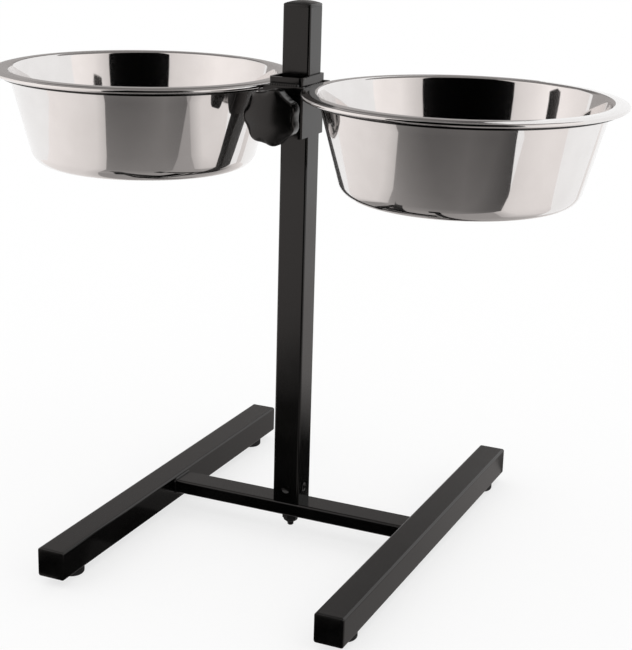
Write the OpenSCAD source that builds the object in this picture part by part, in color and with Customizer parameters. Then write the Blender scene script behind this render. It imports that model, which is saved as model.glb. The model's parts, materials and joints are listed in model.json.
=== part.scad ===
// Dog feeder stand: an H-shaped tube base, an upright post, a clamped sliding sleeve with two bar rings,
// and two lift-out steel bowls. Millimetres, +Z up, +X along the cross bar, the knob on the -Y side.
// The origin is on the floor under the middle of the post.

/* [Feet] */
// Length of a foot tube, without its end plugs
foot_len = 396; // [300:1:500]
// Width and height of the square foot tube
foot_w = 25; // [22:0.5:40]
// Wall of the foot tube
foot_wall = 1.5; // [1:0.1:2.5]
// Outside corner radius of the foot tube
foot_corner_r = 2; // [1.6:0.1:3]
// Distance between the middles of the two feet
foot_spacing = 250; // [200:1:320]

/* [End plugs] */
// Thickness of a plug's flange
plug_flange_t = 2; // [1:0.1:4]
// Depth that a plug reaches into its tube
plug_depth = 14; // [8:0.5:25]
// Wall of a plug's hollow shank
plug_wall = 1.6; // [1:0.1:2.5]
// Height of the two grip ribs on each side of a plug
plug_rib_h = 0.8; // [0.4:0.1:1.2]
// Width of a grip rib along the tube
plug_rib_w = 1.5; // [1:0.1:3]
// Clearance between a plug's ribs and its tube
plug_clear = 0.05; // [0:0.01:0.2]

/* [Floor pads] */
// Diameter of a rubber pad
pad_d = 21.5; // [16:0.5:24]
// Height of a rubber pad
pad_h = 7.5; // [6:0.5:14]
// Radius of a pad's lower edge
pad_edge_r = 2.6; // [1:0.1:3]
// Distance of a pad's middle from the end of its foot tube
pad_inset = 29.5; // [20:0.5:60]
// Diameter of a pad screw
pad_screw_d = 4; // [3:0.5:5]
// Diameter of a pad screw's head
pad_head_d = 8; // [6.5:0.5:10]
// Height of a pad screw's head
pad_head_h = 2.4; // [1.5:0.1:3]
// Length of the arms of the cross recess in a pad screw's head
pad_cross_l = 4; // [3:0.5:5]
// Width of the arms of the cross recess
pad_cross_w = 1; // [0.6:0.1:1.5]
// Depth of the cross recess
pad_cross_depth = 1.2; // [0.8:0.1:1.4]
// Depth that a pad screw's head lies inside its pad
pad_head_sink = 1; // [0.5:0.1:2]
// Length of a pad screw inside the foot tube
pad_screw_reach = 5; // [3:0.5:10]
// Clearance around a pad screw in its pad
pad_screw_clear = 0.2; // [0.1:0.05:0.5]

/* [Cross bar] */
// Width of the flat cross bar tube
bar_w = 25; // [20:0.5:40]
// Height of the flat cross bar tube
bar_h = 12.5; // [10:0.5:16]
// Wall of the cross bar tube
bar_wall = 1.5; // [1:0.1:2.5]
// Outside corner radius of the cross bar tube
bar_corner_r = 1.8; // [1.6:0.1:3]
// Height of the cross bar's underside over the underside of the feet
bar_lift = 9; // [6:0.5:12]

/* [Post] */
// Width of the square post tube
post_w = 25; // [22:0.5:40]
// Wall of the post tube
post_wall = 1.5; // [1:0.1:2.5]
// Outside corner radius of the post tube
post_corner_r = 2; // [1.6:0.1:3]
// Length of the post tube
post_len = 437; // [400:1:600]
// Height of the cap's straight edge
cap_edge_h = 1.8; // [1:0.1:4]
// Rise of the cap's dome over its edge, from the corners to the middle
cap_dome_h = 3.2; // [1:0.1:6]

/* [Post fixing] */
// Diameter of the threaded stud
stud_d = 8; // [6:0.5:10]
// Height of the steel insert in the post's lower end
insert_h = 22; // [15:0.5:40]
// Corner radius of the insert
insert_corner_r = 1.2; // [1.1:0.1:3]
// Clearance of the stud in the cross bar and the washer
stud_clear = 0.3; // [0.1:0.05:0.8]
// Length of the stud showing below the nut
stud_tail = 5; // [1:0.1:6]
// Diameter of the plain point at the stud's lower end
stud_point_d = 5.5; // [4:0.5:5.5]
// Length of the stud's plain point
stud_point_l = 3.5; // [0.5:0.5:5]
// Washer diameter
washer_d = 17; // [14:0.5:24]
// Washer thickness
washer_t = 1.6; // [1:0.1:2.5]
// Width across the flats of the lock nut
nut_af = 13; // [10:0.5:17]
// Height of the lock nut's hexagon
nut_hex_h = 5; // [4:0.1:8]
// Height of the lock nut's round collar
nut_collar_h = 2; // [1:0.1:3]
// Diameter of a crimp dimple that holds the insert
dimple_d = 8; // [4:0.5:10]
// Depth of a crimp dimple
dimple_depth = 1; // [0.5:0.1:1.5]
// Height of the dimples over the post's lower end
dimple_z = 13; // [6:0.5:16]
// Clearance between a dimple's inner bump and its hollow in the insert
dimple_clear = 0.2; // [0.1:0.05:0.5]

/* [Sleeve] */
// Height of the sliding sleeve
sleeve_h = 50; // [40:1:80]
// Wall of the sleeve
sleeve_wall = 2; // [1.5:0.1:3]
// Outside corner radius of the sleeve
sleeve_corner_r = 3; // [2.1:0.1:4]
// Clearance of the post in the sleeve at each side
side_clear = 0.5; // [0.2:0.05:1]
// Clearance of the post in the sleeve at the back
back_clear = 0.2; // [0.1:0.05:0.5]
// Free depth in front of the post, for the clamp's nut and pressure disc
clamp_space = 16.8; // [12:0.1:24]
// Height of the sleeve's lower end over the post's lower end
sleeve_lift = 332; // [300:1:380]

/* [Clamp] */
// Height of the clamp's axis over the sleeve's lower end
clamp_lift = 21; // [12:0.5:28]
// Diameter of the clamp screw
screw_d = 8; // [6:0.5:10]
// Running clearance around the clamp screw
screw_clear = 0.08; // [0.03:0.01:0.1]
// Width across the flats of the sleeve's weld nut
clamp_nut_af = 13; // [11:0.5:17]
// Height of the sleeve's weld nut
clamp_nut_h = 4; // [3:0.1:5]
// Diameter of the pressure disc
disc_d = 16; // [13:0.5:20]
// Thickness of the pressure disc
disc_t = 3; // [2:0.1:4]
// Gap between the pressure disc and the post
disc_gap = 0.1; // [0.05:0.01:0.2]
// Depth of the screw's seat in the pressure disc
disc_seat = 1.5; // [0.5:0.1:1.8]
// Diameter of the knob over its lobes
knob_d = 47; // [36:0.5:60]
// Number of lobes on the knob
knob_lobes = 7; // [5:1:9]
// Angle of the knob's first lobe from the right, with the clamp shut
knob_rest = 180; // [0:1:360]
// Radius of a lobe
knob_lobe_r = 8.5; // [6:0.5:10]
// Depth of the hollows between the lobes
knob_hollow = 2; // [1:0.1:4]
// Thickness of the knob at its edge
knob_t = 14; // [8:0.5:20]
// Rise of the knob's domed front
knob_dome_h = 4.5; // [2:0.1:6]
// Diameter of the boss behind the knob
boss_d = 20; // [14:0.5:26]
// Height of the boss behind the knob
boss_h = 8; // [4:0.5:15]
// Gap between the sleeve and the boss
boss_gap = 9; // [6:0.5:20]
// Depth that the clamp screw reaches into the knob's lobed body
screw_seat = 9; // [5:0.5:12]

/* [Rings] */
// Thickness of the ring bar
ring_bar_t = 4; // [3:0.1:6]
// Height of the ring bar
ring_bar_h = 6; // [4:0.1:10]
// Depth of the ring's upper edge below the sleeve's upper edge
ring_drop = 6.5; // [3:0.1:20]
// Inside radius of the bend between a ring and its arms
ring_bend_r = 3; // [2:0.5:15]
// Length of the short arm along the sleeve; the other ring's long arm covers the rest
short_arm = 11; // [5:0.5:12]
// Clearance of a bowl's rim in the notches that let it cross the arms
rim_clear = 0.3; // [0.2:0.05:1]
// Clearance between a ring and the curve under its bowl's flange
ring_clear = 0.2; // [0.1:0.05:1]

/* [Bowls] */
// Outside diameter of the wall at the level of the flange
mouth_d = 234; // [190:1:250]
// Width of the flange from the wall to the edge of the rim
flange_w = 13; // [12.5:0.5:24]
// Depth of a bowl below the flange
bowl_depth = 81.5; // [60:0.5:100]
// Slope of the wall from upright
wall_slope = 15; // [8:0.5:20]
// Outside radius between the wall and the floor of a bowl
floor_r = 15; // [10:0.5:25]
// Thickness of the bowl's sheet steel
sheet_t = 1; // [0.6:0.1:1.5]
// Outside radius of the bend between the wall and the flange
lip_r = 2.5; // [1.5:0.1:4]
// Width of the flange's flat seat beyond the ring
seat_over = 0.8; // [0.5:0.1:2]
// Fall of the flange from its seat to its edge
flange_fall = 1; // [0:0.1:2.5]
// Diameter of the bead rolled along the edge
bead_d = 3.3; // [1.6:0.1:4]
// Gap between a bowl's rim and the side of the sleeve
rim_gap = 1; // [0.8:0.1:15]

/* [Hidden] */
$fn = 96;

// Length added to a cut so that it passes right through a face
over = 1;

// Angle by which a round stretch laps over the straight runs that it joins
lap = 0.3;

// Smallest inside corner radius of a tube
least_r = 0.1;

// Places of a plug's two grip ribs, as shares of its depth
rib_places = [0.25, 0.75];

// Heights over the floor
foot_mid_z = pad_h + foot_w / 2;
bar_z = pad_h + bar_lift;
post_z = bar_z + bar_h;
post_top = post_z + post_len;
sleeve_z = post_z + sleeve_lift;
ring_top = sleeve_z + sleeve_h - ring_drop;
clamp_z = sleeve_z + clamp_lift;
washer_z = bar_z - washer_t;
nut_hex_z = washer_z - nut_hex_h;
nut_z = nut_hex_z - nut_collar_h;

// Sleeve outline and its place: the post lies against the back wall
sleeve_w = post_w + 2 * (side_clear + sleeve_wall);
sleeve_d = post_w + back_clear + clamp_space + 2 * sleeve_wall;
sleeve_back = post_w / 2 + back_clear + sleeve_wall;
sleeve_front = sleeve_back - sleeve_d;
sleeve_mid = sleeve_back - sleeve_d / 2;

// Places along the cross bar
foot_x = foot_spacing / 2;
bar_len = foot_spacing - foot_w;
rim_r = mouth_d / 2 + flange_w;
bowl_x = sleeve_w / 2 + rim_gap + rim_r;

// Clamp train from the post forward, along -Y
disc_back = -post_w / 2 - disc_gap;
disc_front = disc_back - disc_t;
screw_tip = disc_front + disc_seat;
boss_back = sleeve_front - boss_gap;
knob_back = boss_back - boss_h;
screw_end = knob_back - screw_seat;

// Bowl section: the wall's line, the floor bend's middle and the lip bend's middle
wall_r = mouth_d / 2;
floor_mid_z = floor_r - bowl_depth;
floor_mid_r = wall_r + (floor_mid_z * sin(wall_slope) - floor_r) / cos(wall_slope);
lip_mid_r = wall_r + lip_r * (1 - sin(wall_slope)) / cos(wall_slope);
seat_w = ring_clear + ring_bar_t + seat_over;
seat_end_r = lip_mid_r + seat_w;
bead_r = bead_d / 2;
bead_mid = [rim_r - bead_r, sheet_t - flange_fall - bead_r];
rim_hang = bead_r - bead_mid.y;

// Ring section: bar round the bowl, bend and arms along the sleeve
ring_in_r = lip_mid_r + ring_clear;
ring_mid_r = ring_in_r + ring_bar_t / 2;
bend_mid_r = ring_bend_r + ring_bar_t / 2;
arm_y = sleeve_d / 2 + ring_bar_t / 2;
bend_y = arm_y + bend_mid_r;
bend_turn = asin(bend_y / (ring_mid_r + bend_mid_r));
bend_x = bowl_x - (ring_mid_r + bend_mid_r) * cos(bend_turn);
long_arm = sleeve_w - short_arm;

// Crimp dimple: a ball that presses the post's wall inward
dimple_ball_r = (pow(dimple_d / 2, 2) + pow(dimple_depth, 2)) / (2 * dimple_depth);
dimple_ball_y = post_w / 2 - dimple_depth + dimple_ball_r;

// Finishes
black_paint = "#1b1b1d";
black_plastic = "#151516";
black_rubber = "#0f0f10";
black_steel = "#1a1a1b";
zinc = "#9a9da1";
polished_steel = "#d4d6d8";

// Flat shapes

// Rectangle with true round corners, centred
module round_rect(w, h, r) {
    square([w - 2 * r, h], center = true);
    square([w, h - 2 * r], center = true);
    for (sx = [-1, 1], sy = [-1, 1])
        translate([sx * (w / 2 - r), sy * (h / 2 - r)]) circle(r);
}

// Rectangular tube section with round corners
module tube_section(w, h, wall, r) {
    difference() {
        round_rect(w, h, r);
        round_rect(w - 2 * wall, h - 2 * wall, max(r - wall, least_r));
    }
}

// Part of a flat ring about a middle, from one angle to another less than a half turn on
module arc_strip(mid, r_in, r_out, a0, a1) {
    far = 2 * r_out;
    corners = [for (i = [0:2]) let (a = a0 + (a1 - a0) * i / 2) far * [cos(a), sin(a)]];
    translate(mid) intersection() {
        difference() {
            circle(r_out);
            circle(r_in);
        }
        polygon(concat([[0, 0]], corners));
    }
}

// Base

module foot(side) {
    color(black_paint) difference() {
        translate([side * foot_x, foot_len / 2, foot_mid_z]) rotate([90, 0, 0])
            linear_extrude(foot_len) tube_section(foot_w, foot_w, foot_wall, foot_corner_r);
        for (end = [-1, 1]) at_pad(side, end) translate([0, 0, pad_h - over])
            cylinder(d = pad_screw_d, h = foot_wall + 2 * over);
    }
}

// Place of a pad: side is left or right, end is front or rear
module at_pad(side, end) {
    translate([side * foot_x, end * (foot_len / 2 - pad_inset), 0]) children();
}

module pad(side, end) {
    bore_d = pad_screw_d + 2 * pad_screw_clear;
    head_hole_d = pad_head_d + 2 * pad_screw_clear;
    color(black_rubber) at_pad(side, end) difference() {
        rotate_extrude() {
            translate([0, pad_edge_r]) square([pad_d / 2, pad_h - pad_edge_r]);
            square([pad_d / 2 - pad_edge_r, pad_edge_r + over]);
            translate([pad_d / 2 - pad_edge_r, pad_edge_r]) circle(pad_edge_r);
        }
        translate([0, 0, -over]) cylinder(d = bore_d, h = pad_h + 2 * over);
        translate([0, 0, -over]) cylinder(d = head_hole_d, h = pad_head_sink + pad_head_h + over);
    }
}

module pad_screws() {
    color(zinc) for (side = [-1, 1], end = [-1, 1]) at_pad(side, end) difference() {
        union() {
            translate([0, 0, pad_head_sink]) cylinder(d = pad_head_d, h = pad_head_h);
            translate([0, 0, pad_head_sink])
                cylinder(d = pad_screw_d, h = pad_h - pad_head_sink + foot_wall + pad_screw_reach);
        }
        for (turn = [0, 90]) translate([0, 0, pad_head_sink]) rotate(turn)
            cube([pad_cross_l, pad_cross_w, 2 * pad_cross_depth], center = true);
    }
}

// Plug for a square tube, lying along +Z with its flange's inner face at zero
module tube_plug(w, wall) {
    inner_w = w - 2 * wall - 2 * plug_clear;
    shank_w = inner_w - 2 * plug_rib_h;
    difference() {
        union() {
            translate([0, 0, -plug_depth]) linear_extrude(plug_depth)
                round_rect(shank_w, shank_w, plug_wall / 2);
            for (place = rib_places) translate([0, 0, -plug_depth * place - plug_rib_w / 2])
                linear_extrude(plug_rib_w) round_rect(inner_w, inner_w, plug_wall / 2);
        }
        translate([0, 0, -plug_depth - over]) linear_extrude(plug_depth + over)
            square(shank_w - 2 * plug_wall, center = true);
    }
}

module end_plug(side, end) {
    color(black_plastic) translate([side * foot_x, end * foot_len / 2, foot_mid_z])
        rotate([-90 * end, 0, 0]) {
            tube_plug(foot_w, foot_wall);
            linear_extrude(plug_flange_t) round_rect(foot_w, foot_w, foot_corner_r);
        }
}

module cross_bar() {
    hole_d = stud_d + 2 * stud_clear;
    color(black_paint) difference() {
        translate([-bar_len / 2, 0, bar_z + bar_h / 2]) rotate([90, 0, 90])
            linear_extrude(bar_len) tube_section(bar_w, bar_h, bar_wall, bar_corner_r);
        translate([0, 0, bar_z - over]) cylinder(d = hole_d, h = bar_h + 2 * over);
    }
}

// Post and its fixing

// Crimp balls on the four faces of the post
module dimple_balls(r) {
    for (turn = [0:90:270]) rotate(turn) translate([0, -dimple_ball_y, post_z + dimple_z]) sphere(r);
}

module post() {
    inner_w = post_w - 2 * post_wall;
    color(black_paint) difference() {
        union() {
            translate([0, 0, post_z]) linear_extrude(post_len)
                tube_section(post_w, post_w, post_wall, post_corner_r);
            intersection() {
                dimple_balls(dimple_ball_r + post_wall);
                translate([0, 0, post_z]) linear_extrude(insert_h) square(inner_w + post_wall, center = true);
            }
        }
        dimple_balls(dimple_ball_r);
    }
}

module post_insert() {
    inner_w = post_w - 2 * post_wall;
    color(zinc) difference() {
        translate([0, 0, post_z]) linear_extrude(insert_h) round_rect(inner_w, inner_w, insert_corner_r);
        dimple_balls(dimple_ball_r + post_wall + dimple_clear);
        translate([0, 0, post_z - over]) cylinder(d = stud_d, h = insert_h + 2 * over);
    }
}

module post_stud() {
    stud_z = nut_z - stud_tail;
    thread_z = stud_z + stud_point_l;
    color(black_steel) {
        translate([0, 0, stud_z]) cylinder(d = stud_point_d, h = stud_point_l + over);
        translate([0, 0, thread_z]) cylinder(d = stud_d, h = post_z + insert_h - thread_z);
    }
}

module post_washer() {
    color(black_steel) translate([0, 0, washer_z]) difference() {
        cylinder(d = washer_d, h = washer_t);
        translate([0, 0, -over]) cylinder(d = stud_d + 2 * stud_clear, h = washer_t + 2 * over);
    }
}

module post_nut() {
    color(black_steel) difference() {
        union() {
            translate([0, 0, nut_hex_z]) cylinder(d = nut_af / cos(30), h = nut_hex_h, $fn = 6);
            translate([0, 0, nut_z]) cylinder(d = nut_af, h = nut_collar_h);
        }
        translate([0, 0, nut_z - over]) cylinder(d = stud_d, h = nut_hex_h + nut_collar_h + 2 * over);
    }
}

module post_cap() {
    corner = post_w / sqrt(2);
    dome_r = (pow(corner, 2) + pow(cap_dome_h, 2)) / (2 * cap_dome_h);
    color(black_plastic) translate([0, 0, post_top]) {
        tube_plug(post_w, post_wall);
        intersection() {
            linear_extrude(cap_edge_h + cap_dome_h) round_rect(post_w, post_w, post_corner_r);
            translate([0, 0, cap_edge_h + cap_dome_h - dome_r]) sphere(dome_r);
        }
    }
}

// Sliding sleeve with the rings

module sleeve() {
    hole_d = screw_d + 2 * screw_clear;
    color(black_paint) difference() {
        translate([0, sleeve_mid, sleeve_z]) linear_extrude(sleeve_h)
            tube_section(sleeve_w, sleeve_d, sleeve_wall, sleeve_corner_r);
        along_clamp(sleeve_front - over) cylinder(d = hole_d, h = sleeve_wall + 2 * over);
    }
}

// Clamp axis, with +Z here pointing back to the post from a place along Y
module along_clamp(y) {
    translate([0, y, clamp_z]) rotate([-90, 0, 0]) children();
}

module sleeve_nut() {
    color(zinc) along_clamp(sleeve_front + sleeve_wall) difference() {
        cylinder(d = clamp_nut_af / cos(30), h = clamp_nut_h, $fn = 6);
        translate([0, 0, -over]) cylinder(d = screw_d + 2 * screw_clear, h = clamp_nut_h + 2 * over);
    }
}

// Filled outline of a ring's outer or inner side, about the sleeve's middle: a disc round the bowl, a strip
// along the sleeve, and the round corners between them. out is measured outward from the bar's middle.
module ring_outline(out, strip_end) {
    disc_r = ring_mid_r + out;
    strip_y = arm_y + out;
    translate([bowl_x, 0]) circle(disc_r);
    translate([strip_end, -strip_y]) square([bowl_x - strip_end, 2 * strip_y]);
    difference() {
        polygon([[bowl_x, 0], [bend_x, bend_y], [bend_x, -bend_y]]);
        for (s = [-1, 1]) translate([bend_x, s * bend_y]) circle(bend_mid_r - out);
    }
}

// Ring on the +X side: the bar runs along the sleeve's front, bends out, goes round the bowl,
// bends back and runs along the sleeve's back. Both arms are notched where the bowl's rim crosses them.
module ring() {
    front_end = sleeve_w / 2 - long_arm;
    back_end = sleeve_w / 2 - short_arm;
    notch_depth = rim_hang + rim_clear;
    color(black_paint) translate([0, sleeve_mid, ring_top]) difference() {
        translate([0, 0, -ring_bar_h]) linear_extrude(ring_bar_h) difference() {
            ring_outline(ring_bar_t / 2, front_end);
            ring_outline(-ring_bar_t / 2, front_end - over);
            translate([front_end - over, 0]) square([back_end - front_end + over, arm_y + ring_bar_t]);
        }
        translate([bowl_x, 0, -notch_depth]) linear_extrude(notch_depth + over) difference() {
            circle(rim_r + rim_clear);
            circle(seat_end_r);
        }
    }
}

module right_ring() {
    ring();
}

// The left ring is the same piece, turned half way round the sleeve's middle
module left_ring() {
    translate([0, 2 * sleeve_mid, 0]) rotate(180) ring();
}

// Clamp

module clamp_disc() {
    seat_d = screw_d + 2 * screw_clear;
    color(zinc) along_clamp(disc_front) difference() {
        cylinder(d = disc_d, h = disc_t);
        translate([0, 0, -over]) cylinder(d = seat_d, h = disc_seat + over);
    }
}

module clamp_screw() {
    color(zinc) along_clamp(screw_end) cylinder(d = screw_d, h = screw_tip - screw_end);
}

module clamp_knob() {
    edge_r = knob_d / 2;
    dome_r = (pow(edge_r, 2) + pow(knob_dome_h, 2)) / (2 * knob_dome_h);
    front = knob_t + knob_dome_h;
    color(black_plastic) along_clamp(knob_back) difference() {
        union() {
            intersection() {
                translate([0, 0, -front]) linear_extrude(front) {
                    circle(edge_r - knob_hollow);
                    for (i = [0:knob_lobes - 1]) rotate(knob_rest + i * 360 / knob_lobes)
                        translate([edge_r - knob_lobe_r, 0]) circle(knob_lobe_r);
                }
                translate([0, 0, dome_r - front]) sphere(dome_r);
            }
            translate([0, 0, -over]) cylinder(d = boss_d, h = boss_h + over);
        }
        translate([0, 0, -screw_seat]) cylinder(d = screw_d, h = screw_seat + boss_h + over);
    }
}

// Bowls

// Half section of a bowl, with height zero at the flange's underside
module bowl_section() {
    normal = [cos(wall_slope), -sin(wall_slope)];
    floor_mid = [floor_mid_r, floor_mid_z];
    lip_mid = [lip_mid_r, -lip_r];
    translate([0, -bowl_depth]) square([floor_mid_r, sheet_t]);
    arc_strip(floor_mid, floor_r - sheet_t, floor_r, -90 - lap, lap - wall_slope);
    polygon([
        floor_mid + (floor_r - sheet_t) * normal,
        floor_mid + floor_r * normal,
        lip_mid - lip_r * normal,
        lip_mid - (lip_r + sheet_t) * normal
    ]);
    arc_strip(lip_mid, lip_r, lip_r + sheet_t, 90 - lap, 180 - wall_slope + lap);
    translate([lip_mid_r, 0]) square([seat_w, sheet_t]);
    polygon([
        [seat_end_r - sheet_t, 0],
        [seat_end_r, 0],
        bead_mid + [0, bead_r - sheet_t],
        bead_mid + [0, bead_r],
        [seat_end_r, sheet_t],
        [seat_end_r - sheet_t, sheet_t]
    ]);
    translate(bead_mid) circle(bead_r);
}

module bowl(side) {
    color(polished_steel) translate([side * bowl_x, sleeve_mid, ring_top]) rotate_extrude() bowl_section();
}

foot(-1);  // left_foot
foot(1);  // right_foot
cross_bar();
post();
post_cap();
post_insert();
post_stud();
post_washer();
post_nut();
end_plug(-1, -1);  // left_front_plug
end_plug(-1, 1);  // left_rear_plug
end_plug(1, -1);  // right_front_plug
end_plug(1, 1);  // right_rear_plug
pad(-1, -1);  // left_front_pad
pad(-1, 1);  // left_rear_pad
pad(1, -1);  // right_front_pad
pad(1, 1);  // right_rear_pad
pad_screws();
sleeve();
sleeve_nut();
left_ring();
right_ring();
clamp_disc();
clamp_screw();
clamp_knob();
bowl(-1);  // left_bowl
bowl(1);  // right_bowl
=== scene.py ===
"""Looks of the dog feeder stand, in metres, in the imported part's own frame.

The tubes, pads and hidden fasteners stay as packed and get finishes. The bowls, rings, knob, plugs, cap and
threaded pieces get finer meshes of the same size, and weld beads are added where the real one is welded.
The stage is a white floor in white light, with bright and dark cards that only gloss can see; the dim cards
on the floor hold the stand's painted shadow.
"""

import json
import math

import bpy
from mathutils import Matrix, Vector


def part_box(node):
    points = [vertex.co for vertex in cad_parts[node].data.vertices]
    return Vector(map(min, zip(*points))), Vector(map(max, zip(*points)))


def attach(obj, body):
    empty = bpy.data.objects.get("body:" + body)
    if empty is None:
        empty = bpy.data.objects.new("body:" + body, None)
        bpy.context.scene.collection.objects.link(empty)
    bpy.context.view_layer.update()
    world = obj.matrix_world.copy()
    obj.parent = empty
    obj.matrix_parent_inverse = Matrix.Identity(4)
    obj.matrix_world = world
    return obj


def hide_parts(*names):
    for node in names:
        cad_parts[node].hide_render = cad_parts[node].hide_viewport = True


MM = 0.001

# Camera fitted to the photograph: its place, direction, focal length and image middle
IMAGE_W = 632
IMAGE_H = 650
FOCAL_PX = 1546.0
MIDDLE_PX = (306.1, 324.4)
SENSOR_W = 36
CLIP_NEAR = 0.01
CLIP_FAR = 100
CAMERA_AT = Vector((535.74, -1175.83, 582.01)) * MM
VIEW_AZIMUTH = math.radians(24.077)
VIEW_ELEVATION = math.radians(16.765)
VIEW_ROLL = math.radians(1.515)

# Bowl sheet: slope of the wall, bends, flange and bead
SHEET_T = 1 * MM
MOUTH_R = 117 * MM
WALL_SLOPE = math.radians(15)
FLOOR_BEND_R = 15 * MM
LIP_R = 2.5 * MM
FLANGE_FALL = 1 * MM
BEAD_R = 1.65 * MM
BEAD_TURN = (86, -190)
CREASE = (4.2 * MM, 3 * MM)
CREASE_FALL = (0.35 * MM, 0.8 * MM)
SEAT_W = 5 * MM
BEND_STEP = 0.4 * MM
FLOOR_MIDDLE_R = 0.5 * MM
BOWL_SIDES = 240
FLOOR_BEND_STEPS = 14
LIP_STEPS_INSIDE = 10
LIP_STEPS_OUTSIDE = 8
BEAD_STEPS = 24
WALL_STEPS = 6

# Ring bar and its bends
BAR_T = 4 * MM
BAR_ROUND = 0.5 * MM
BEND_R = 5 * MM
RING_CLEAR = 0.2 * MM
RIM_CLEAR = 0.3 * MM
SEAM_X = 4 * MM
ARM_STEPS = 24
BEND_STEPS = 8
RING_STEPS = 220
BAR_ROUND_STEPS = 3

# Tube plugs and the post's cap
TUBE_CORNER_R = 2 * MM
PLUG_FLANGE_T = 2 * MM
PLUG_ROUND = 0.7 * MM
PLUG_SEAM = 0.25 * MM
PLUG_SEAM_END = 0.35 * MM
PLUG_CROWN = 0.25 * MM
PLUG_ROUND_STEPS = 5
PLUG_SHARES = (0.8, 0.55, 0.3, 0.05)
SHANK_INSET = 2.4 * MM
CAP_DOME_H = 3.2 * MM
CAP_SHARES = (0.85, 0.65, 0.45, 0.25, 0.05)

# Knob
KNOB_LOBES = 7
KNOB_REST = math.pi
KNOB_LOBE_R = 8.5 * MM
KNOB_HOLLOW = 2 * MM
KNOB_T = 14 * MM
KNOB_BACK_ROUND = 3 * MM
LOBE_SHOULDER = (3.5 * MM, 2.5 * MM)
HOLLOW_SHOULDER = (6 * MM, 3 * MM)
BOSS_R = 10 * MM
BOSS_H = 8 * MM
BOSS_ROUND = 1 * MM
KNOB_SIDES = 210
LOBE_BLEND = 40
FACE_RINGS = 14
BOSS_STEPS = 4
BACK_STEPS = 7
SHOULDER_STEPS = 14

# Threads, nut and the stud's point
THREAD_PITCH = 1.25 * MM
THREAD_DEPTH = 0.7 * MM
THREAD_SIDES = 36
ROWS_PER_TURN = 8
NUT_COLLAR_H = 2 * MM
NUT_COLLAR_ROUND = 1.6 * MM
NUT_COLLAR_INSET = 0.1 * MM
NUT_COLLAR_TURN = (-80, 0)
NUT_COLLAR_STEPS = 6
NUT_CHAMFER_LOW = 0.45 * MM
NUT_CHAMFER_HIGH = 0.54 * MM
NUT_FACE_SHARE = 0.98
NUT_SIDES = 96
POINT_R = 2.75 * MM
POINT_L = 3.5 * MM
POINT_OVERLAP = 1.2
POINT_ROUND = ((0.3, 0), (0.75, 0.3 * MM), (1, 1 * MM))

# Weld beads: ripples along the bead, its root in the corner, and its tapered ends
WELD_RIPPLE = 2.1 * MM
WELD_SWELL = 0.05
WELD_ROOT = 0.3 * MM
WELD_START = 0.35
WELD_GROWTH = 0.4
WELD_STEPS = 6
ARM_WELD_LEGS = (3.7 * MM, 2.4 * MM)
ARM_WELD_INSET = 2.2 * MM
ARM_WELD_STEPS = 60
BAR_WELD_LEG = 1.3 * MM
BAR_WELD_CORNER = 1.8 * MM
BAR_WELD_STEPS = 5
BAR_WELD_PITCH = 0.5 * MM

# Warm cast of a black finish's gloss, and of the studio cards
WARM_GLOSS = (1, 0.965, 0.945, 1)
CARD_COLOUR = (1, 0.955, 0.935, 1)

# White floor: half its length, and how it shares white between glow and shade
FLOOR_HALF = 30.0
FLOOR_SHADE = 0.3
FLOOR_GLOW = 0.7

# Colour sockets of a Mix node, whose names are not unique
MIX_DARK = 6
MIX_PALE = 7
MIX_RESULT = 2

# Quarters of an outline, in the order of their angles
CORNER_SIGNS = ((1, 1), (-1, 1), (-1, -1), (1, -1))


def smooth_mesh(name, points, faces, material, sharp=38):
    """Object from points and faces, shaded smooth below the sharp angle in degrees."""
    mesh = bpy.data.meshes.new(name)
    mesh.from_pydata([tuple(p) for p in points], [], faces)
    mesh.validate()
    mesh.shade_smooth()
    mesh.set_sharp_from_angle(angle=math.radians(sharp))
    obj = bpy.data.objects.new(name, mesh)
    obj.data.materials.append(material)
    bpy.context.scene.collection.objects.link(obj)
    return obj


def loft(name, rings, material, wrap=False, sharp=38):
    """Skin over rings of as many points each. The first and last rings are capped, or joined by wrap."""
    n = len(rings[0])
    points = [p for ring in rings for p in ring]
    pairs = list(zip(range(len(rings) - 1), range(1, len(rings))))
    if wrap:
        pairs.append((len(rings) - 1, 0))
    faces = []
    for a, b in pairs:
        for i in range(n):
            j = (i + 1) % n
            faces.append((a * n + i, a * n + j, b * n + j, b * n + i))
    if not wrap:
        faces.append(tuple(reversed(range(n))))
        faces.append(tuple(range((len(rings) - 1) * n, len(rings) * n)))
    return smooth_mesh(name, points, faces, material, sharp)


def circle_ring(radius, z, sides):
    """Ring of points about Z; radius may be a function of the angle."""
    ring = []
    for i in range(sides):
        a = 2 * math.pi * i / sides
        r = radius(a) if callable(radius) else radius
        ring.append(Vector((r * math.cos(a), r * math.sin(a), z)))
    return ring


def arc(mid, radius, start, end, steps):
    """Points along an arc in a plane, with the angles in degrees."""
    turns = [math.radians(start + (end - start) * i / steps) for i in range(steps + 1)]
    return [(mid[0] + radius * math.cos(a), mid[1] + radius * math.sin(a)) for a in turns]


def round_square(half, corner, z, steps=6):
    """Ring of points along a square with round corners, at a height."""
    ring = []
    for k, (sx, sy) in enumerate(CORNER_SIGNS):
        mid = (sx * (half - corner), sy * (half - corner))
        ring += [Vector((x, y, z)) for x, y in arc(mid, corner, 90 * k, 90 * k + 90, steps)]
    return ring


def place(obj, at, along=None):
    """Moves obj to a point, with its own Z turned to a direction."""
    turn = Vector((0, 0, 1)).rotation_difference(Vector(along)).to_matrix().to_4x4() if along else Matrix()
    obj.matrix_world = Matrix.Translation(at) @ turn
    return obj


def dress(obj, body, slot, *nodes):
    """A finished piece rides on a body and stands for CAD nodes, which it hides; its slot is not used."""
    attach(obj, body)
    if nodes:
        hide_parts(*nodes)
    return obj


# Finishes

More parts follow.
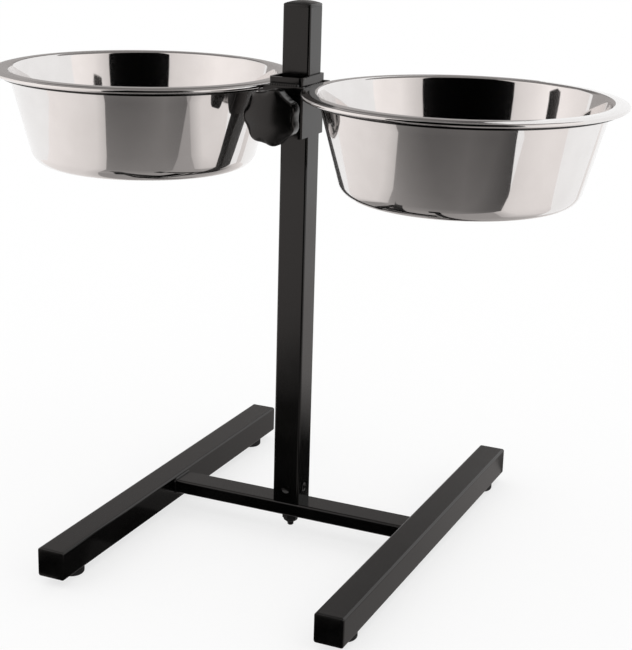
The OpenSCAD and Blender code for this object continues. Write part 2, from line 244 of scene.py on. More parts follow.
class Finish:
    """Short calls for a material's node tree round one Principled shader."""

    def __init__(self, name):
        self.material = bpy.data.materials.new(name)
        self.material.use_nodes = True
        self.tree = self.material.node_tree
        self.shader = self.tree.nodes["Principled BSDF"]
        self.coords = self.add("ShaderNodeTexCoord").outputs["Object"]

    def add(self, kind, **settings):
        """New node with its settings."""
        node = self.tree.nodes.new(kind)
        for key, value in settings.items():
            setattr(node, key, value)
        return node

    def link(self, source, target):
        self.tree.links.new(source, target)

    def set(self, **values):
        """Plain values on the shader's own sockets."""
        for key, value in values.items():
            self.shader.inputs[key.replace("_", " ").title().replace("Ior", "IOR")].default_value = value

    def noise(self, scale, detail=2.0, coords=None, dimensions="3D"):
        """Noise over the object, or along one number."""
        node = self.add("ShaderNodeTexNoise", noise_dimensions=dimensions)
        node.inputs["Scale"].default_value = scale
        node.inputs["Detail"].default_value = detail
        if dimensions == "1D":
            self.link(coords, node.inputs["W"])
        else:
            self.link(coords or self.coords, node.inputs["Vector"])
        return node.outputs["Fac"]

    def spread(self, value, low, high, start=0.3, end=0.7):
        """Value from start to end, spread over low to high."""
        node = self.add("ShaderNodeMapRange")
        for key, number in (("From Min", start), ("From Max", end), ("To Min", low), ("To Max", high)):
            node.inputs[key].default_value = number
        self.link(value, node.inputs["Value"])
        return node.outputs["Result"]

    def math(self, operation, a, b):
        node = self.add("ShaderNodeMath", operation=operation)
        for socket, value in zip(node.inputs, (a, b)):
            if isinstance(value, (int, float)):
                socket.default_value = value
            else:
                self.link(value, socket)
        return node.outputs["Value"]

    def tint(self, value, dark, pale):
        """Base colour from dark to pale."""
        node = self.add("ShaderNodeMix", data_type="RGBA")
        self.link(value, node.inputs["Factor"])
        for index, colour in ((MIX_DARK, dark), (MIX_PALE, pale)):
            node.inputs[index].default_value = (*colour, 1)
        self.link(node.outputs[MIX_RESULT], self.shader.inputs["Base Color"])

    def bump(self, height, distance, strength=1.0, below=None):
        node = self.add("ShaderNodeBump")
        node.inputs["Strength"].default_value = strength
        node.inputs["Distance"].default_value = distance
        self.link(height, node.inputs["Height"])
        if below:
            self.link(below, node.inputs["Normal"])
        return node.outputs["Normal"]

    def finish(self, roughness, normal):
        """Last links, and the material they make."""
        self.link(roughness, self.shader.inputs["Roughness"])
        self.link(normal, self.shader.inputs["Normal"])
        return self.material


def black_paint():
    """Glossy black powder coat: faint orange peel and soft gloss variation."""
    f = Finish("black_paint")
    f.set(ior=1.48, specular_tint=WARM_GLOSS)
    peel = f.noise(520, 2)
    broad = f.noise(35, 3)
    f.tint(f.spread(broad, 0, 1), (0.0007, 0.0007, 0.0007), (0.0014, 0.0014, 0.0013))
    normal = f.bump(peel, 0.00002, 0.6)
    return f.finish(f.spread(broad, 0.13, 0.2), normal)


def black_plastic():
    """Satin moulded plastic with a fine eroded grain."""
    f = Finish("black_plastic")
    f.set(ior=1.5, specular_tint=WARM_GLOSS)
    grain = f.noise(2600, 2)
    broad = f.noise(90, 3)
    f.tint(f.spread(broad, 0, 1), (0.0007, 0.0007, 0.0007), (0.0016, 0.0016, 0.0015))
    normal = f.bump(grain, 0.00001, 0.5)
    return f.finish(f.spread(broad, 0.19, 0.24), normal)


def black_rubber():
    """Matt rubber with a dusty, fine grain."""
    f = Finish("black_rubber")
    f.set(ior=1.45)
    grain = f.noise(1800, 3)
    broad = f.noise(120, 3)
    f.tint(f.spread(broad, 0, 1), (0.003, 0.003, 0.003), (0.007, 0.007, 0.007))
    normal = f.bump(grain, 0.00004, 0.7)
    return f.finish(f.spread(broad, 0.6, 0.75), normal)


def black_steel():
    """Black oxide on turned steel."""
    f = Finish("black_steel")
    f.set(metallic=0.6)
    grain = f.noise(1500, 3)
    f.tint(f.spread(grain, 0, 1), (0.004, 0.004, 0.004), (0.014, 0.013, 0.013))
    normal = f.bump(grain, 0.00001, 0.5)
    return f.finish(f.spread(grain, 0.32, 0.48), normal)


def zinc_steel():
    """Bright zinc plating with faint cloudy patches."""
    f = Finish("zinc_steel")
    f.set(metallic=1.0)
    cloud = f.noise(300, 4)
    f.tint(f.spread(cloud, 0, 1), (0.5, 0.51, 0.53), (0.66, 0.67, 0.68))
    normal = f.bump(f.noise(2500, 2), 0.00001, 0.4)
    return f.finish(f.spread(cloud, 0.25, 0.4), normal)


def polished_steel():
    """Mirror polished sheet: fine turning lines about the bowl's axis over a very slight waviness."""
    f = Finish("polished_steel")
    f.set(metallic=1.0, coat_weight=0.5, coat_roughness=0.28)
    parts = f.add("ShaderNodeSeparateXYZ")
    f.link(f.coords, parts.inputs["Vector"])
    flat = f.add("ShaderNodeCombineXYZ")
    f.link(parts.outputs["X"], flat.inputs["X"])
    f.link(parts.outputs["Y"], flat.inputs["Y"])
    radius = f.add("ShaderNodeVectorMath", operation="LENGTH")
    f.link(flat.outputs["Vector"], radius.inputs[0])
    along = f.math("SUBTRACT", radius.outputs["Value"], parts.outputs["Z"])
    lines = f.noise(3200, 2, along, "1D")
    cloud = f.noise(40, 3)
    f.tint(f.spread(cloud, 0, 1), (0.77, 0.747, 0.737), (0.81, 0.789, 0.78))
    wave = f.bump(f.noise(14, 1), 0.0006, 0.25)
    normal = f.bump(lines, 0.000002, 0.25, wave)
    return f.finish(f.spread(lines, 0.035, 0.06), normal)


# Pieces

def bowl(side, steel):
    """Pressed bowl turned from one closed section, with its zero height at the flange's underside."""
    low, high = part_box(f"{side}_bowl")
    flange_z = high.z - SHEET_T
    depth = flange_z - low.z
    rim_r = (high.x - low.x) / 2
    slope = math.degrees(WALL_SLOPE)
    sin_slope = math.sin(WALL_SLOPE)
    cos_slope = math.cos(WALL_SLOPE)
    bend_z = FLOOR_BEND_R - depth
    bend_mid = (MOUTH_R + (bend_z * sin_slope - FLOOR_BEND_R) / cos_slope, bend_z)
    lip_mid = (MOUTH_R + LIP_R * (1 - sin_slope) / cos_slope, -LIP_R)
    seat_end = lip_mid[0] + SEAT_W
    bead_mid = (rim_r - BEAD_R, SHEET_T - FLANGE_FALL - BEAD_R)

    profile = [(FLOOR_MIDDLE_R, SHEET_T - depth), (bend_mid[0] / 2, SHEET_T - depth)]
    profile += arc(bend_mid, FLOOR_BEND_R - SHEET_T, -90, -slope, FLOOR_BEND_STEPS)
    profile += wall_points(profile[-1], lip_mid, LIP_R + SHEET_T, slope)
    profile += arc(lip_mid, LIP_R + SHEET_T, 180 - slope, 90, LIP_STEPS_INSIDE)
    bead = arc(bead_mid, BEAD_R, *BEAD_TURN, BEAD_STEPS)
    seat_top = (seat_end, SHEET_T)
    seat_under = (seat_end, 0)
    crease = [(rim_r - inset, SHEET_T - fall) for inset, fall in zip(CREASE, CREASE_FALL)]
    profile += [beside(seat_top, profile[-1]), beside(seat_top, crease[0]), beside(crease[0], seat_top)]
    profile += [beside(crease[0], crease[1]), beside(crease[1], crease[0]), beside(crease[1], bead[0])]
    profile += bead
    profile += [beside(seat_under, bead[-1]), beside(seat_under, (lip_mid[0], 0))]
    profile += arc(lip_mid, LIP_R, 90, 180 - slope, LIP_STEPS_OUTSIDE)
    outer = arc(bend_mid, FLOOR_BEND_R, -slope, -90, FLOOR_BEND_STEPS)
    profile += reversed(wall_points(outer[0], lip_mid, LIP_R, slope))
    profile += outer + [(bend_mid[0] / 2, -depth), (FLOOR_MIDDLE_R, -depth)]

    rings = [circle_ring(r, z, BOWL_SIDES) for r, z in profile]
    obj = loft(f"{side}_bowl_sheet", rings, steel, sharp=70)
    mid = (low + high) / 2
    place(obj, Vector((mid.x, mid.y, flange_z)))
    return dress(obj, f"{side}_bowl", "polished_steel", f"{side}_bowl")


def beside(corner, end):
    """Point a short step from a slight corner towards an end, so that smooth shading stays close to it."""
    share = BEND_STEP / math.dist(corner, end)
    return tuple(c + (e - c) * share for c, e in zip(corner, end))


def wall_points(start, lip_mid, lip_radius, slope):
    """Points between the floor bend and the lip bend, along the straight wall."""
    end = arc(lip_mid, lip_radius, 180 - slope, 90, 1)[0]
    shares = [i / WALL_STEPS for i in range(1, WALL_STEPS)]
    return [tuple(s + (e - s) * t for s, e in zip(start, end)) for t in shares]


def ring_path(bowl_x, arm_y, ring_r):
    """Middle line of a ring on the +X side of the sleeve's middle, with the outward side of each point."""
    bend_y = arm_y + BEND_R
    turn = math.degrees(math.asin(bend_y / (ring_r + BEND_R)))
    bend_x = bowl_x - (ring_r + BEND_R) * math.cos(math.radians(turn))
    front = [(-SEAM_X + (bend_x + SEAM_X) * i / ARM_STEPS, -arm_y) for i in range(ARM_STEPS)]
    path = [(p, (0, -1)) for p in front]
    for p in arc((bend_x, -bend_y), BEND_R, 90, turn, BEND_STEPS)[:-1]:
        path.append((p, ((bend_x - p[0]) / BEND_R, (-bend_y - p[1]) / BEND_R)))
    for p in arc((bowl_x, 0), ring_r, 180 + turn, 540 - turn, RING_STEPS):
        path.append((p, ((p[0] - bowl_x) / ring_r, p[1] / ring_r)))
    for p in arc((bend_x, bend_y), BEND_R, -turn, -90, BEND_STEPS)[1:]:
        path.append((p, ((bend_x - p[0]) / BEND_R, (bend_y - p[1]) / BEND_R)))
    back = [(bend_x + (SEAM_X - bend_x) * i / ARM_STEPS, arm_y) for i in range(1, ARM_STEPS + 1)]
    return path + [(p, (0, 1)) for p in back]


def ring(side, paint):
    """Flat bar bent round a bowl, with softened edges and the notches that let the rim cross its arms."""
    sleeve_low, sleeve_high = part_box("sleeve")
    ring_low, ring_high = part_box(f"{side}_ring")
    bowl_low, bowl_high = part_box(f"{side}_bowl")
    middle = (sleeve_low + sleeve_high) / 2
    bowl_x = abs((bowl_low.x + bowl_high.x) / 2)
    rim_r = (bowl_high.x - bowl_low.x) / 2
    lip_r = MOUTH_R + LIP_R * (1 - math.sin(WALL_SLOPE)) / math.cos(WALL_SLOPE)
    notch_from = lip_r + SEAT_W
    notch_to = rim_r + RIM_CLEAR
    bar_h = ring_high.z - ring_low.z
    rim_hang = FLANGE_FALL - SHEET_T + 2 * BEAD_R
    notch_z = -rim_hang - RIM_CLEAR
    arm_y = (sleeve_high.y - sleeve_low.y + BAR_T) / 2
    path = ring_path(bowl_x, arm_y, lip_r + RING_CLEAR + BAR_T / 2)
    section = bar_section(BAR_T, bar_h)

    rings = []
    for (x, y), (out_x, out_y) in path:
        points = []
        for u, w in section:
            p = Vector((x + out_x * u, y + out_y * u, w))
            from_bowl = math.hypot(p.x - bowl_x, p.y)
            if notch_from < from_bowl < notch_to:
                p.z = min(p.z, notch_z)
            points.append(p)
        rings.append(points)
    obj = loft(f"{side}_ring_bar", rings, paint, sharp=50)
    turn = Matrix.Rotation(math.pi, 4, "Z") if side == "left" else Matrix()
    obj.matrix_world = Matrix.Translation((middle.x, middle.y, ring_high.z)) @ turn
    return dress(obj, "carriage", "black_paint", f"{side}_ring")


def bar_section(thick, height):
    """Section of a flat bar with softened corners, its top at zero."""
    section = []
    for k, (sx, sy) in enumerate(CORNER_SIGNS):
        mid = (sx * (thick / 2 - BAR_ROUND), -BAR_ROUND if sy > 0 else BAR_ROUND - height)
        section += arc(mid, BAR_ROUND, 90 * k, 90 * k + 90, BAR_ROUND_STEPS)
    return section


def knob_outline(edge_r):
    """Radius of the lobed outline at an angle: round lobes blended into a plain disc."""
    lobe_mid = edge_r - KNOB_LOBE_R
    disc_r = edge_r - KNOB_HOLLOW

    def radius(a):
        step = 2 * math.pi / KNOB_LOBES
        off = (a - KNOB_REST + step / 2) % step - step / 2
        lobe = lobe_mid * math.cos(off) + math.sqrt(KNOB_LOBE_R**2 - (lobe_mid * math.sin(off)) ** 2)
        blend = (lobe / edge_r) ** LOBE_BLEND + (disc_r / edge_r) ** LOBE_BLEND
        return edge_r * blend ** (1 / LOBE_BLEND)

    return radius


def knob(plastic):
    """Moulded star knob: boss, lobed body with round edges and a domed front."""
    low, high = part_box("clamp_knob")
    screw_low, screw_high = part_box("clamp_screw")
    axis_z = (screw_low.z + screw_high.z) / 2
    edge_r = -low.x
    outline = knob_outline(edge_r)
    front = high.y - low.y
    dome_h = front - BOSS_H - KNOB_T
    dome_r = (edge_r**2 + dome_h**2) / (2 * dome_h)

    def lobed(inset, z):
        return circle_ring(lambda a: outline(a) - inset, z, KNOB_SIDES)

    def shoulder(a, axis):
        """Width (axis 0) or height (axis 1) of the front's round edge at an angle."""
        hollow = (edge_r - outline(a)) / KNOB_HOLLOW
        return LOBE_SHOULDER[axis] + (HOLLOW_SHOULDER[axis] - LOBE_SHOULDER[axis]) * hollow

    def domed(inset, drop, share):
        """Ring on the domed front: inset and drop along the round edge, then a share of the rest."""
        ring = circle_ring(lambda a: share * (outline(a) - inset * shoulder(a, 0)), 0, KNOB_SIDES)
        for p in ring:
            p.z = front - dome_r + math.sqrt(dome_r**2 - p.x**2 - p.y**2)
            p.z -= drop * shoulder(math.atan2(p.y, p.x), 1)
        return ring

    boss_edge = arc((BOSS_R - BOSS_ROUND, BOSS_ROUND), BOSS_ROUND, -90, 0, BOSS_STEPS)
    rings = [circle_ring(r, z, KNOB_SIDES) for r, z in boss_edge]
    rings.append(circle_ring(BOSS_R, BOSS_H - BOSS_ROUND, KNOB_SIDES))
    rings.append(circle_ring(BOSS_R + BOSS_ROUND, BOSS_H, KNOB_SIDES))
    back = BOSS_H + KNOB_BACK_ROUND
    back_edge = arc((KNOB_BACK_ROUND, back), KNOB_BACK_ROUND, -90, -180, BACK_STEPS)
    rings += [lobed(inset, z) for inset, z in back_edge]
    rings += [domed(inset, drop, 1) for inset, drop in arc((1, 1), 1, 180, 270, SHOULDER_STEPS)]
    rings += [domed(1, 0, 1 - i / FACE_RINGS) for i in range(1, FACE_RINGS)]
    obj = loft("clamp_knob_moulding", rings, plastic, sharp=60)
    place(obj, Vector((0, high.y, axis_z)), (0, -1, 0))
    return dress(obj, "knob", "black_plastic", "clamp_knob")


def threaded(name, radius, length, material):
    """Rod along +Z with a V thread wound on it."""
    rows = int(length / THREAD_PITCH * ROWS_PER_TURN) + 1

    def row(z):
        def thread(a):
            phase = (z / THREAD_PITCH - a / (2 * math.pi)) % 1
            return radius - THREAD_DEPTH * abs(2 * phase - 1)

        return circle_ring(thread, z, THREAD_SIDES)

    return loft(name, [row(length * i / (rows - 1)) for i in range(rows)], material, sharp=25)


def clamp_screw(zinc):
    """Threaded rod of the clamp."""
    low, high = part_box("clamp_screw")
    mid = (low + high) / 2
    obj = threaded("clamp_screw_thread", (high.x - low.x) / 2, high.y - low.y, zinc)
    place(obj, Vector((mid.x, low.y, mid.z)), (0, 1, 0))
    return dress(obj, "knob", "zinc_steel", "clamp_screw")


def lock_nut(steel):
    """Hexagon nut with turned chamfers and a round collar below it."""
    low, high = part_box("post_nut")
    height = high.z - low.z
    flat_r = min(high.x - low.x, high.y - low.y) / 2
    bore_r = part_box("post_stud")[1].x
    corner_r = flat_r / math.cos(math.pi / 6)

    def hexagon(limit):
        def radius(a):
            off = (a + math.pi / 6) % (math.pi / 3) - math.pi / 6
            return min(flat_r / math.cos(off), limit)

        return radius

    round_mid = (flat_r - NUT_COLLAR_ROUND, NUT_COLLAR_ROUND)
    outline = [(bore_r, 0), (round_mid[0], 0)]
    outline += arc(round_mid, NUT_COLLAR_ROUND, *NUT_COLLAR_TURN, NUT_COLLAR_STEPS)
    outline += [
        (flat_r - NUT_COLLAR_INSET, NUT_COLLAR_H),
        (hexagon(corner_r), NUT_COLLAR_H + NUT_CHAMFER_LOW),
        (hexagon(corner_r), height - NUT_CHAMFER_HIGH),
        (hexagon(flat_r * NUT_FACE_SHARE), height),
        (bore_r, height),
    ]
    rings = [circle_ring(r, z, NUT_SIDES) for r, z in outline]
    obj = loft("post_nut_turned", rings, steel, wrap=True, sharp=30)
    place(obj, Vector((0, 0, low.z)))
    return dress(obj, "base", "black_steel", "post_nut")


def stud(steel):
    """Threaded stud in the post's end, with a rounded point below it."""
    low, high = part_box("post_stud")
    rod = threaded("post_stud_thread", high.x, high.z - low.z - POINT_L, steel)
    place(rod, Vector((0, 0, low.z + POINT_L)))
    dress(rod, "base", "black_steel", "post_stud")
    outline = (*POINT_ROUND, (1, POINT_L * POINT_OVERLAP))
    rings = [circle_ring(POINT_R * share, z, THREAD_SIDES) for share, z in outline]
    tip = loft("post_stud_point", rings, steel)
    place(tip, Vector((0, 0, low.z)))
    return dress(tip, "base", "black_steel")


def foot_plug(side, end, plastic):
    """Tube plug: shank, a thin seam against the tube, and a softly crowned flange."""
    node = f"{side}_{end}_plug"
    low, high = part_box(node)
    foot_low, foot_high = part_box(f"{side}_foot")
    half = (high.x - low.x) / 2
    depth = high.y - low.y - PLUG_FLANGE_T
    rings = [round_square(half - SHANK_INSET, TUBE_CORNER_R / 2, z) for z in (-depth, 0)]
    rings.append(round_square(half - PLUG_SEAM, TUBE_CORNER_R, 0))
    rings.append(round_square(half - PLUG_SEAM, TUBE_CORNER_R, PLUG_SEAM))
    edge_z = PLUG_FLANGE_T - PLUG_CROWN - PLUG_ROUND
    rings.append(round_square(half, TUBE_CORNER_R, PLUG_SEAM_END))
    for inset, z in arc((PLUG_ROUND, edge_z), PLUG_ROUND, 180, 90, PLUG_ROUND_STEPS):
        rings.append(round_square(half - inset, TUBE_CORNER_R, z))
    for share in PLUG_SHARES:
        size = (half - PLUG_ROUND) * share
        height = PLUG_FLANGE_T - PLUG_CROWN * share**2
        rings.append(round_square(size, TUBE_CORNER_R * share, height))
    obj = loft(f"{node}_moulding", rings, plastic, sharp=40)
    out = -1 if end == "front" else 1
    face_y = foot_low.y if end == "front" else foot_high.y
    place(obj, Vector(((low.x + high.x) / 2, face_y, (low.z + high.z) / 2)), (0, out, 0))
    return dress(obj, "base", "black_plastic", node)


def post_cap(plastic):
    """Domed cap with a seam against the post's end and a soft edge."""
    low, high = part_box("post_cap")
    post_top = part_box("post")[1].z
    half = (high.x - low.x) / 2
    corner = half * math.sqrt(2)
    dome_r = (corner**2 + CAP_DOME_H**2) / (2 * CAP_DOME_H)
    top = high.z - post_top
    depth = post_top - low.z

    def domed(scale, drop):
        ring = []
        for p in round_square(half * scale, TUBE_CORNER_R * scale, 0):
            p.z = top - dome_r + math.sqrt(dome_r**2 - p.x**2 - p.y**2) - drop
            ring.append(p)
        return ring

    rings = [round_square(half - SHANK_INSET, TUBE_CORNER_R / 2, z) for z in (-depth, 0)]
    rings.append(round_square(half - PLUG_SEAM, TUBE_CORNER_R, 0))
    rings.append(round_square(half - PLUG_SEAM, TUBE_CORNER_R, PLUG_SEAM))
    rings.append(round_square(half, TUBE_CORNER_R, PLUG_SEAM_END))
    for inset, drop in arc((PLUG_ROUND, PLUG_ROUND), PLUG_ROUND, 180, 270, PLUG_ROUND_STEPS):
        rings.append(domed(1 - inset / half, drop))
    for share in CAP_SHARES:
        rings.append(domed((1 - PLUG_ROUND / half) * share, 0))
    obj = loft("post_cap_moulding", rings, plastic, sharp=40)
    place(obj, Vector((0, 0, post_top)))
    return dress(obj, "base", "black_plastic", "post_cap")


def weld(name, path, leg_a, leg_b, body, paint, closed=False):
    """Weld bead along a path of (point, first leg, second leg), swelling in ripples."""
    travel = 0.0
    rings = []
    last = path[0][0]
    for i, (p, a, b) in enumerate(path):
        travel += (p - last).length
        last = p
        from_end = min(i, len(path) - 1 - i)
        end_share = 1.0 if closed else min(1.0, WELD_START + WELD_GROWTH * from_end)
        size = end_share * (1 + WELD_SWELL * math.sin(2 * math.pi * travel / WELD_RIPPLE))
        points = [p - WELD_ROOT * (a + b)]
        for k in range(WELD_STEPS + 1):
            t = math.pi / 2 * k / WELD_STEPS
            points.append(p + size * (a * leg_a * math.cos(t) + b * leg_b * math.sin(t)))
        rings.append(points)
    obj = loft(name, rings, paint, wrap=closed, sharp=60)
    return dress(obj, body, "black_paint")


def arm_welds(paint):
    """Beads along the tops of the arms, where they lie against the sleeve's front and back."""
    low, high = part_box("sleeve")
    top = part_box("right_ring")[1].z
    half = (high.x - low.x) / 2 - ARM_WELD_INSET
    for end, y, out in (("front", low.y, -1), ("back", high.y, 1)):
        path = []
        for i in range(ARM_WELD_STEPS + 1):
            x = half * (2 * i / ARM_WELD_STEPS - 1)
            path.append((Vector((x, y, top)), Vector((0, out, 0)), Vector((0, 0, 1))))
        weld(f"arm_weld_{end}", path, *ARM_WELD_LEGS, "carriage", paint)


def bar_welds(paint):
    """Small beads round both ends of the cross bar, against the feet."""
    low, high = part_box("cross_bar")
    half_y = (high.y - low.y) / 2
    mid = (low + high) / 2
    half_z = (high.z - low.z) / 2
    corner = BAR_WELD_CORNER
    outline = []
    for k, (sy, sz) in enumerate(CORNER_SIGNS):
        centre = (sy * (half_y - corner), sz * (half_z - corner))
        outline += [(p, centre) for p in arc(centre, corner, 90 * k, 90 * k + 90, BAR_WELD_STEPS)]
    dense = []
    for (p, centre), (q, _) in zip(outline, outline[1:] + outline[:1]):
        normal = Vector((0, p[0] - centre[0], p[1] - centre[1])).normalized()
        parts = max(1, round(math.dist(p, q) / BAR_WELD_PITCH))
        for i in range(parts):
            y = p[0] + (q[0] - p[0]) * i / parts
            z = p[1] + (q[1] - p[1]) * i / parts
            dense.append((y, z, normal))
    for side, x, inward in (("left", low.x, 1), ("right", high.x, -1)):
        path = [(Vector((x, mid.y + y, mid.z + z)), Vector((inward, 0, 0)), n) for y, z, n in dense]
        weld(f"bar_weld_{side}", path, BAR_WELD_LEG, BAR_WELD_LEG, "base", paint, closed=True)


# Stage

def glow_material(name):
    """Glow of the level stored at each point of a card."""
    mat = bpy.data.materials.new(name)
    mat.use_nodes = True
    tree = mat.node_tree
    tree.nodes.clear()
    stored = tree.nodes.new("ShaderNodeAttribute")
    stored.attribute_name = "level"
    glow = tree.nodes.new("ShaderNodeEmission")
    glow.inputs["Color"].default_value = CARD_COLOUR
    out = tree.nodes.new("ShaderNodeOutputMaterial")
    tree.links.new(stored.outputs["Fac"], glow.inputs["Strength"])
    tree.links.new(glow.outputs["Emission"], out.inputs["Surface"])
    return mat


def card(name, rows):
    """Studio card that only gloss can see, so that it shapes reflections and nothing else.

    Its rows hold as many points each, as (x, y, z, level) in mm, and the level blends between them.
    """
    points = [p for row in rows for p in row]
    n = len(rows[0])
    faces = []
    for r in range(len(rows) - 1):
        for i in range(r * n, r * n + n - 1):
            faces.append((i, i + 1, i + n + 1, i + n))
    obj = smooth_mesh(name, [Vector(p[:3]) * MM for p in points], faces, glow_material(name))
    stored = obj.data.attributes.new("level", "FLOAT", "POINT")
    stored.data.foreach_set("value", [p[3] for p in points])
    for ray in ("camera", "diffuse", "transmission", "volume_scatter", "shadow"):
        setattr(obj, f"visible_{ray}", False)


def upright_card(name, plan, rows):
    """Card standing over a plan of (x, y, share), from rows of (z, level); a point has share times level."""
    card(name, [[(x, y, z, share * level) for x, y, share in plan] for z, level in rows])


def level_card(name, z, rows, shares=((0, 1), (1, 1))):
    """Card lying at a height, from rows of (y, level, left, right), with shares of the level across it."""
    points = []
    for y, level, left, right in rows:
        points.append([(left + (right - left) * across, y, z, share * level) for across, share in shares])
    card(name, points)


def cards():
    """Dark gap between two bright sides in front, dim floor with the stand's painted shadow near the part,
    grey wall behind to the left with painted shade towards its top.

    Places are in mm.
    """
    gap_left, gap_right = (-119, -485), (926, -507)
    bright = ((230, 1), (1800, 1))
    upright_card("card_front", ((*gap_left, 0), (*gap_right, 0)), ((230, 1), (2400, 1)))
    left_plan = ((*gap_left, 0.8), (-600, -420, 1.1), (-1400, -100, 1), (-1700, 500, 0.9))
    right_plan = ((*gap_right, 0.7), (1300, -250, 1), (1700, 400, 1.1))
    upright_card("card_left", left_plan, bright)
    upright_card("card_right", right_plan, bright)

    wall = ((-2067, 752, 1), (-1472, 1635, 1), (-860, 2025, 1))
    upright_card("card_back_low", (*wall, (-401, 2163, 1)), ((330, 0.4), (1080, 0.4)))
    # Painted shade: the wall behind darkens towards its top, where less light falls on it
    painted_falloff_rows = ((1080, 0.4), (1450, 0.4), (1750, 0.18), (3000, 0.18))
    upright_card("card_back_high", (*wall, (-401, 2163, 0.4)), painted_falloff_rows)
    level_card("card_top", 1900, ((-1600, 0.25, -1600, 1600), (1100, 0.25, -1600, 1600)))

    floor_z = 0.3
    # Darker floor in front of the stand with the stand's shadow painted into it, as a card that only gloss
    # sees
    dark_floor_and_shadow_front = (
        (-1800, 0.05, -155, 1400),
        (-760, 0.06, -155, 1240),
        (-400, 0.3, -240, 815),
        (-242, 0.4, -275, 625),
    )
    # Painted shadow: the stand's shadow on the floor under and behind it, as a dim card that only gloss sees
    painted_shadow_near = ((-242, 0.3, -275, 455), (0, 0.3, -290, 300), (250, 0.4, -290, 290), (600, 0.8, -290, 290))
    level_card("card_floor_and_shadow_front", floor_z, dark_floor_and_shadow_front, ((0, 1), (0.5, 0.65), (1, 0.15)))
    level_card("card_painted_shadow_near", floor_z, painted_shadow_near, ((0, 1), (1, 1.2)))
    # White floor fades in beside the painted shadow, darker next to it as a painted soft edge
    fade_w = 600
    left_edge = [(y, 1, left - fade_w, left) for y, _, left, _ in (*dark_floor_and_shadow_front, *painted_shadow_near[1:3])]
    right_edge = [(y, 1, right, right + fade_w) for y, _, _, right in painted_shadow_near[:3]]
    level_card("card_shadow_fade_left", floor_z, left_edge, ((0, 1), (0.85, 0.8), (1, 0.6)))
    level_card("card_shadow_fade_right", floor_z, right_edge, ((0, 0.5), (0.2, 0.8), (1, 0.95)))

    # Painted shadow: small dark patches on the floor where the stand shades it, each seen only in the gloss
    # of one face of the black tubes
    painted_shadow_patches = {
        "bar": ((-105, 0, -150, 100), (-25, 0, -150, 100)),
        "post_front": ((-370, 0.05, -200, -120), (-60, 0, -60, 5)),
        "post_right": ((60, 0, 35, 115), (200, 0, 65, 135), (400, 0.7, 150, 235), (1300, 0.9, 480, 680)),
        "left_foot": ((-175, 0.05, -110, -70), (20, 0.1, -110, -70)),
        "left_plug": ((-290, 0, -180, -122), (-212, 0, -180, -122)),
        "right_plug": ((-280, 0, 80, 140), (-208, 0, 80, 140)),
    }
    for name, rows in painted_shadow_patches.items():
        level_card(f"card_painted_shadow_{name}", 2 * floor_z, rows)


def floor():
    """White floor that keeps a soft shadow."""
    mat = bpy.data.materials.new("floor_white")
    mat.use_nodes = True
    tree = mat.node_tree
    shader = tree.nodes["Principled BSDF"]
    shader.inputs["Base Color"].default_value = (FLOOR_SHADE, FLOOR_SHADE, FLOOR_SHADE, 1)
    shader.inputs["Roughness"].default_value = 1.0
    shader.inputs["Specular IOR Level"].default_value = 0.0
    shader.inputs["Emission Color"].default_value = (1, 1, 1, 1)
    shader.inputs["Emission Strength"].default_value = FLOOR_GLOW
    corners = [Vector((sx * FLOOR_HALF, sy * FLOOR_HALF, 0)) for sx, sy in CORNER_SIGNS]
    obj = smooth_mesh("floor", corners, [(0, 1, 2, 3)], mat)


def light():
    """Even white surroundings at a plain level."""
    world = bpy.data.worlds.new("studio")
    bpy.context.scene.world = world
    world.use_nodes = True
    back = world.node_tree.nodes["Background"]
    back.inputs["Color"].default_value = (1, 1, 1, 1)
    back.inputs["Strength"].default_value = 1.0


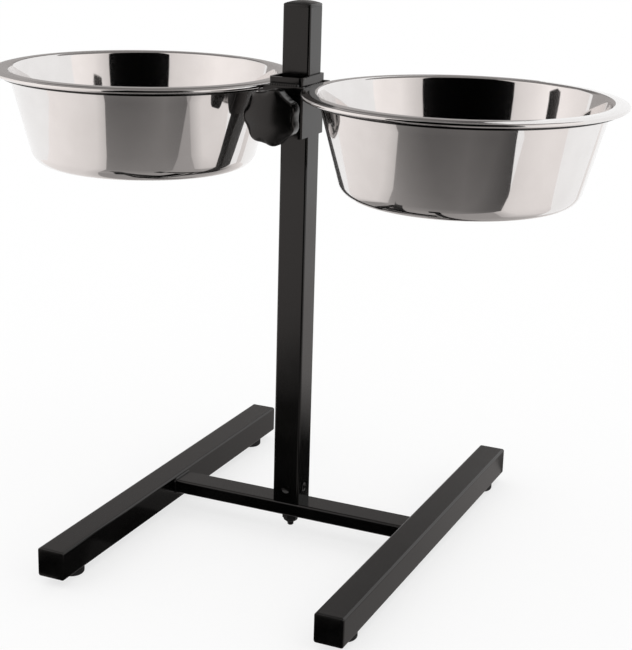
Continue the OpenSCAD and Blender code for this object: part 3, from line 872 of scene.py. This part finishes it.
def camera():
    """Camera at the photograph's place and angle, with its image middle as a small shift."""
    data = bpy.data.cameras.new("camera")
    data.sensor_fit = "HORIZONTAL"
    data.sensor_width = SENSOR_W
    data.lens = FOCAL_PX * SENSOR_W / IMAGE_W
    data.shift_x = (IMAGE_W / 2 - MIDDLE_PX[0]) / IMAGE_W
    data.shift_y = (MIDDLE_PX[1] - IMAGE_H / 2) / IMAGE_W
    data.clip_start = CLIP_NEAR
    data.clip_end = CLIP_FAR
    level = math.cos(VIEW_ELEVATION)
    back = Vector((
        math.sin(VIEW_AZIMUTH) * level,
        -math.cos(VIEW_AZIMUTH) * level,
        math.sin(VIEW_ELEVATION),
    ))
    right = Vector((math.cos(VIEW_AZIMUTH), math.sin(VIEW_AZIMUTH), 0))
    up = back.cross(right)
    rolled_right = right * math.cos(VIEW_ROLL) + up * math.sin(VIEW_ROLL)
    rolled_up = up * math.cos(VIEW_ROLL) - right * math.sin(VIEW_ROLL)
    turn = Matrix((rolled_right, rolled_up, back)).transposed().to_4x4()
    obj = bpy.data.objects.new("camera", data)
    obj.matrix_world = Matrix.Translation(CAMERA_AT) @ turn
    bpy.context.scene.collection.objects.link(obj)
    bpy.context.scene.camera = obj


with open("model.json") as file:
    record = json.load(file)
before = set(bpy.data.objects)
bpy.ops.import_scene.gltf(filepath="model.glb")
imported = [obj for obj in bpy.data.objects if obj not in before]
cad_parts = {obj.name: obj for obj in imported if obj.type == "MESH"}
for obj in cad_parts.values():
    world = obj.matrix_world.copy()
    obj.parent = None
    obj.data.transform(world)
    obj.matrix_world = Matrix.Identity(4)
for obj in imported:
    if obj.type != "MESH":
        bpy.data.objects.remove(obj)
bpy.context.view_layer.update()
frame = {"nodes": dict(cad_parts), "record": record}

FINISHES = {
    "black_paint": black_paint(),
    "black_plastic": black_plastic(),
    "black_rubber": black_rubber(),
    "black_steel": black_steel(),
    "zinc_steel": zinc_steel(),
    "polished_steel": polished_steel(),
}

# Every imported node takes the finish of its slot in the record
for entry in frame["record"]["subparts"]:
    materials = frame["nodes"][entry["node"]].data.materials
    materials.clear()
    materials.append(FINISHES[entry["material_slot"]])

for side in ("left", "right"):
    bowl(side, FINISHES["polished_steel"])
    ring(side, FINISHES["black_paint"])
    for end in ("front", "rear"):
        foot_plug(side, end, FINISHES["black_plastic"])
knob(FINISHES["black_plastic"])
clamp_screw(FINISHES["zinc_steel"])
lock_nut(FINISHES["black_steel"])
stud(FINISHES["black_steel"])
post_cap(FINISHES["black_plastic"])
arm_welds(FINISHES["black_paint"])
bar_welds(FINISHES["black_paint"])

floor()
cards()
light()
camera()
bpy.context.scene.view_settings.view_transform = "Standard"
